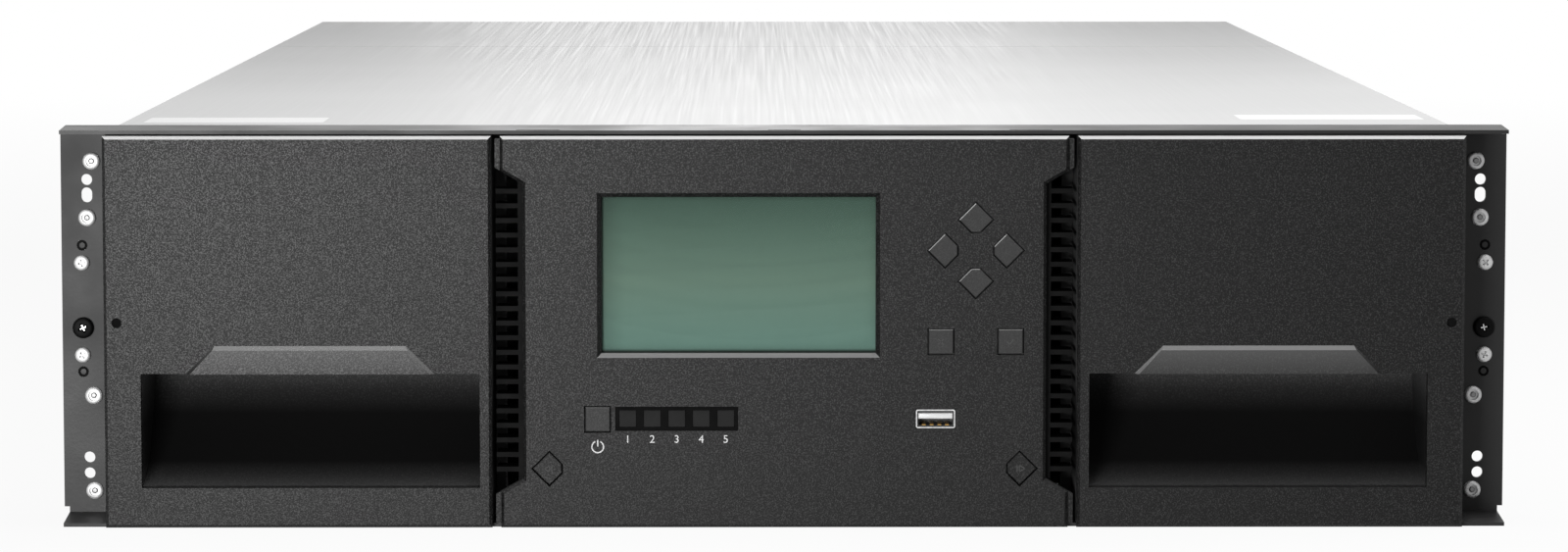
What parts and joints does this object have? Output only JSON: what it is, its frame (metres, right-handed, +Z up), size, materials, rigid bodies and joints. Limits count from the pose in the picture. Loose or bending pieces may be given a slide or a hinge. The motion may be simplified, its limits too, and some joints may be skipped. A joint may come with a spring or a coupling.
{
  "type": "data tape library",
  "caption": "Rack-mount data tape library with pull-out cartridge magazines, an operator panel with display and buttons, a cartridge robot, tape drives and power supplies.",
  "frame": {"origin": "bottom centre of the whole part, on the surface that it rests on", "axes": "+Z up; the front with the bezels faces -Y; +X is to the right seen from the front"},
  "size_m": [0.479, 0.88, 0.13],
  "materials": {
    "black_steel": "satin black powder coat",
    "zinc_steel": "zinc-plated sheet",
    "cover_steel": "satin silver sheet",
    "bright_screw": "bright plated",
    "rivet_metal": "bright",
    "bezel_plastic": "fine-grain charcoal",
    "button_plastic": "fine-grain charcoal",
    "window_clear": "clear, slightly glossy",
    "display_green": "grey-green, unlit",
    "circuit_board": "green solder mask",
    "strip_black": "gloss black",
    "lens_smoke": "smoked, unlit",
    "port_metal": "bright nickel",
    "vent_black": "matte black",
    "guide_plastic": "natural white",
    "bright_shaft": "ground",
    "robot_metal": "plain",
    "robot_plastic": "matte black",
    "motor_black": "black",
    "drive_metal": "cast and sheet metal, mean density",
    "module_metal": "plated box, mean density",
    "socket_black": "black",
    "fan_black": "black",
    "rack_screw_black": "black",
    "divider_plastic": "dark grey"
  },
  "bodies": {
    "chassis": {"front_frame": "black_steel", "base_pan": "zinc_steel", "front_top_cover": "cover_steel", "rear_top_cover": "cover_steel", "rear_panel": "zinc_steel", "pan_head_screws": "bright_screw", "ear_rivets": "rivet_metal", "control_panel_bezel": "bezel_plastic", "display_window": "window_clear", "display_module": "display_green", "control_board": "circuit_board", "status_strip": "strip_black", "status_lenses": "lens_smoke", "data_port": "port_metal", "vent_grilles": "vent_black", "magazine_guides": "guide_plastic", "robot_guide_rails": "zinc_steel", "screw_bearing": "robot_metal", "carriage_motor": "motor_black", "drive_cage": "zinc_steel"},
    "left_magazine": {"left_magazine_bezel": "bezel_plastic", "left_magazine_tray": "zinc_steel", "left_magazine_dividers": "divider_plastic"},
    "right_magazine": {"right_magazine_bezel": "bezel_plastic", "right_magazine_tray": "zinc_steel", "right_magazine_dividers": "divider_plastic"},
    "up_key": {"up_button": "button_plastic"},
    "down_key": {"down_button": "button_plastic"},
    "left_key": {"left_button": "button_plastic"},
    "right_key": {"right_button": "button_plastic"},
    "back_key": {"back_button": "button_plastic"},
    "enter_key": {"enter_button": "button_plastic"},
    "power_key": {"power_button": "button_plastic"},
    "left_magazine_key": {"left_magazine_button": "button_plastic"},
    "right_magazine_key": {"right_magazine_button": "button_plastic"},
    "left_rack_screw": {"left_captive_screw": "rack_screw_black"},
    "right_rack_screw": {"right_captive_screw": "rack_screw_black"},
    "carriage": {"carriage_plate": "robot_metal", "lift_posts": "bright_shaft", "lift_motor": "motor_black"},
    "carriage_drive": {"carriage_screw": "bright_shaft"},
    "lift": {"lift_platform": "robot_metal"},
    "lift_drive": {"lift_screw": "bright_shaft"},
    "picker": {"picker_tray": "robot_plastic", "barcode_reader": "robot_plastic"},
    "gripper_slide": {"gripper": "robot_plastic"},
    "drive_1": {"drive_sled_1": "zinc_steel", "tape_drive_1": "drive_metal"},
    "drive_2": {"drive_sled_2": "zinc_steel", "tape_drive_2": "drive_metal"},
    "drive_3": {"drive_sled_3": "zinc_steel", "tape_drive_3": "drive_metal"},
    "supply_1": {"power_supply_1": "module_metal"},
    "fan_1": {"power_supply_fan_1": "fan_black"},
    "supply_2": {"power_supply_2": "module_metal"},
    "fan_2": {"power_supply_fan_2": "fan_black"},
    "controller": {"controller_module": "module_metal", "controller_ports": "socket_black"}
  },
  "joints": [
    {"name": "left_magazine_slide", "type": "slide", "parent": "chassis", "child": "left_magazine", "axis": [0, -1, 0], "range_m": [0, 0.45]},
    {"name": "right_magazine_slide", "type": "slide", "parent": "chassis", "child": "right_magazine", "axis": [0, -1, 0], "range_m": [0, 0.45]},
    {"name": "up_key_press", "type": "slide", "parent": "chassis", "child": "up_key", "axis": [0, 1, 0], "range_m": [0, 0.001], "stiffness_N_per_m": 800},
    {"name": "down_key_press", "type": "slide", "parent": "chassis", "child": "down_key", "axis": [0, 1, 0], "range_m": [0, 0.001], "stiffness_N_per_m": 800},
    {"name": "left_key_press", "type": "slide", "parent": "chassis", "child": "left_key", "axis": [0, 1, 0], "range_m": [0, 0.001], "stiffness_N_per_m": 800},
    {"name": "right_key_press", "type": "slide", "parent": "chassis", "child": "right_key", "axis": [0, 1, 0], "range_m": [0, 0.001], "stiffness_N_per_m": 800},
    {"name": "back_key_press", "type": "slide", "parent": "chassis", "child": "back_key", "axis": [0, 1, 0], "range_m": [0, 0.001], "stiffness_N_per_m": 800},
    {"name": "enter_key_press", "type": "slide", "parent": "chassis", "child": "enter_key", "axis": [0, 1, 0], "range_m": [0, 0.001], "stiffness_N_per_m": 800},
    {"name": "power_key_press", "type": "slide", "parent": "chassis", "child": "power_key", "axis": [0, 1, 0], "range_m": [0, 0.001], "stiffness_N_per_m": 800},
    {"name": "left_magazine_key_press", "type": "slide", "parent": "chassis", "child": "left_magazine_key", "axis": [0, 1, 0], "range_m": [0, 0.001], "stiffness_N_per_m": 800},
    {"name": "right_magazine_key_press", "type": "slide", "parent": "chassis", "child": "right_magazine_key", "axis": [0, 1, 0], "range_m": [0, 0.001], "stiffness_N_per_m": 800},
    {"name": "left_rack_screw_turn", "type": "hinge", "parent": "chassis", "child": "left_rack_screw", "pos_m": [-0.23255, -0.4048, 0.0628], "axis": [0, 1, 0], "continuous": true},
    {"name": "right_rack_screw_turn", "type": "hinge", "parent": "chassis", "child": "right_rack_screw", "pos_m": [0.23255, -0.4048, 0.0628], "axis": [0, 1, 0], "continuous": true},
    {"name": "carriage_travel", "type": "slide", "parent": "chassis", "child": "carriage", "axis": [0, 1, 0], "range_m": [-0.17108, 0.2215]},
    {"name": "carriage_screw_turn", "type": "hinge", "parent": "chassis", "child": "carriage_drive", "pos_m": [0.0865, -0.4012, 0.0071], "axis": [0, 1, 0], "range_deg": [-2100, 2100]},
    {"name": "lift_travel", "type": "slide", "parent": "carriage", "child": "lift", "axis": [0, 0, 1], "range_m": [0, 0.0924]},
    {"name": "lift_screw_turn", "type": "hinge", "parent": "carriage", "child": "lift_drive", "pos_m": [0.074, -0.2097, 0.02], "axis": [0, 0, 1], "range_deg": [-20, 1700]},
    {"name": "picker_turn", "type": "hinge", "parent": "lift", "child": "picker", "pos_m": [0, -0.1497, 0.0104], "axis": [0, 0, 1], "range_deg": [-90, 90]},
    {"name": "gripper_reach", "type": "slide", "parent": "picker", "child": "gripper_slide", "axis": [0, 1, 0], "range_m": [0, 0.05]},
    {"name": "drive_1_pull", "type": "slide", "parent": "chassis", "child": "drive_1", "axis": [0, 1, 0], "range_m": [0, 0.25]},
    {"name": "drive_2_pull", "type": "slide", "parent": "chassis", "child": "drive_2", "axis": [0, 1, 0], "range_m": [0, 0.25]},
    {"name": "drive_3_pull", "type": "slide", "parent": "chassis", "child": "drive_3", "axis": [0, 1, 0], "range_m": [0, 0.25]},
    {"name": "supply_1_pull", "type": "slide", "parent": "chassis", "child": "supply_1", "axis": [0, 1, 0], "range_m": [0, 0.2]},
    {"name": "fan_1_spin", "type": "hinge", "parent": "supply_1", "child": "fan_1", "pos_m": [-0.191, 0.4265, 0.036], "axis": [0, 1, 0], "continuous": true},
    {"name": "supply_2_pull", "type": "slide", "parent": "chassis", "child": "supply_2", "axis": [0, 1, 0], "range_m": [0, 0.2]},
    {"name": "fan_2_spin", "type": "hinge", "parent": "supply_2", "child": "fan_2", "pos_m": [-0.191, 0.4265, 0.088], "axis": [0, 1, 0], "continuous": true},
    {"name": "controller_pull", "type": "slide", "parent": "chassis", "child": "controller", "axis": [0, 1, 0], "range_m": [0, 0.15]}
  ],
  "couplings": [
    {"joint": "carriage_screw_turn", "follows": "carriage_travel", "rad_per_m": 157.08},
    {"joint": "lift_screw_turn", "follows": "lift_travel", "rad_per_m": 314.16}
  ]
}
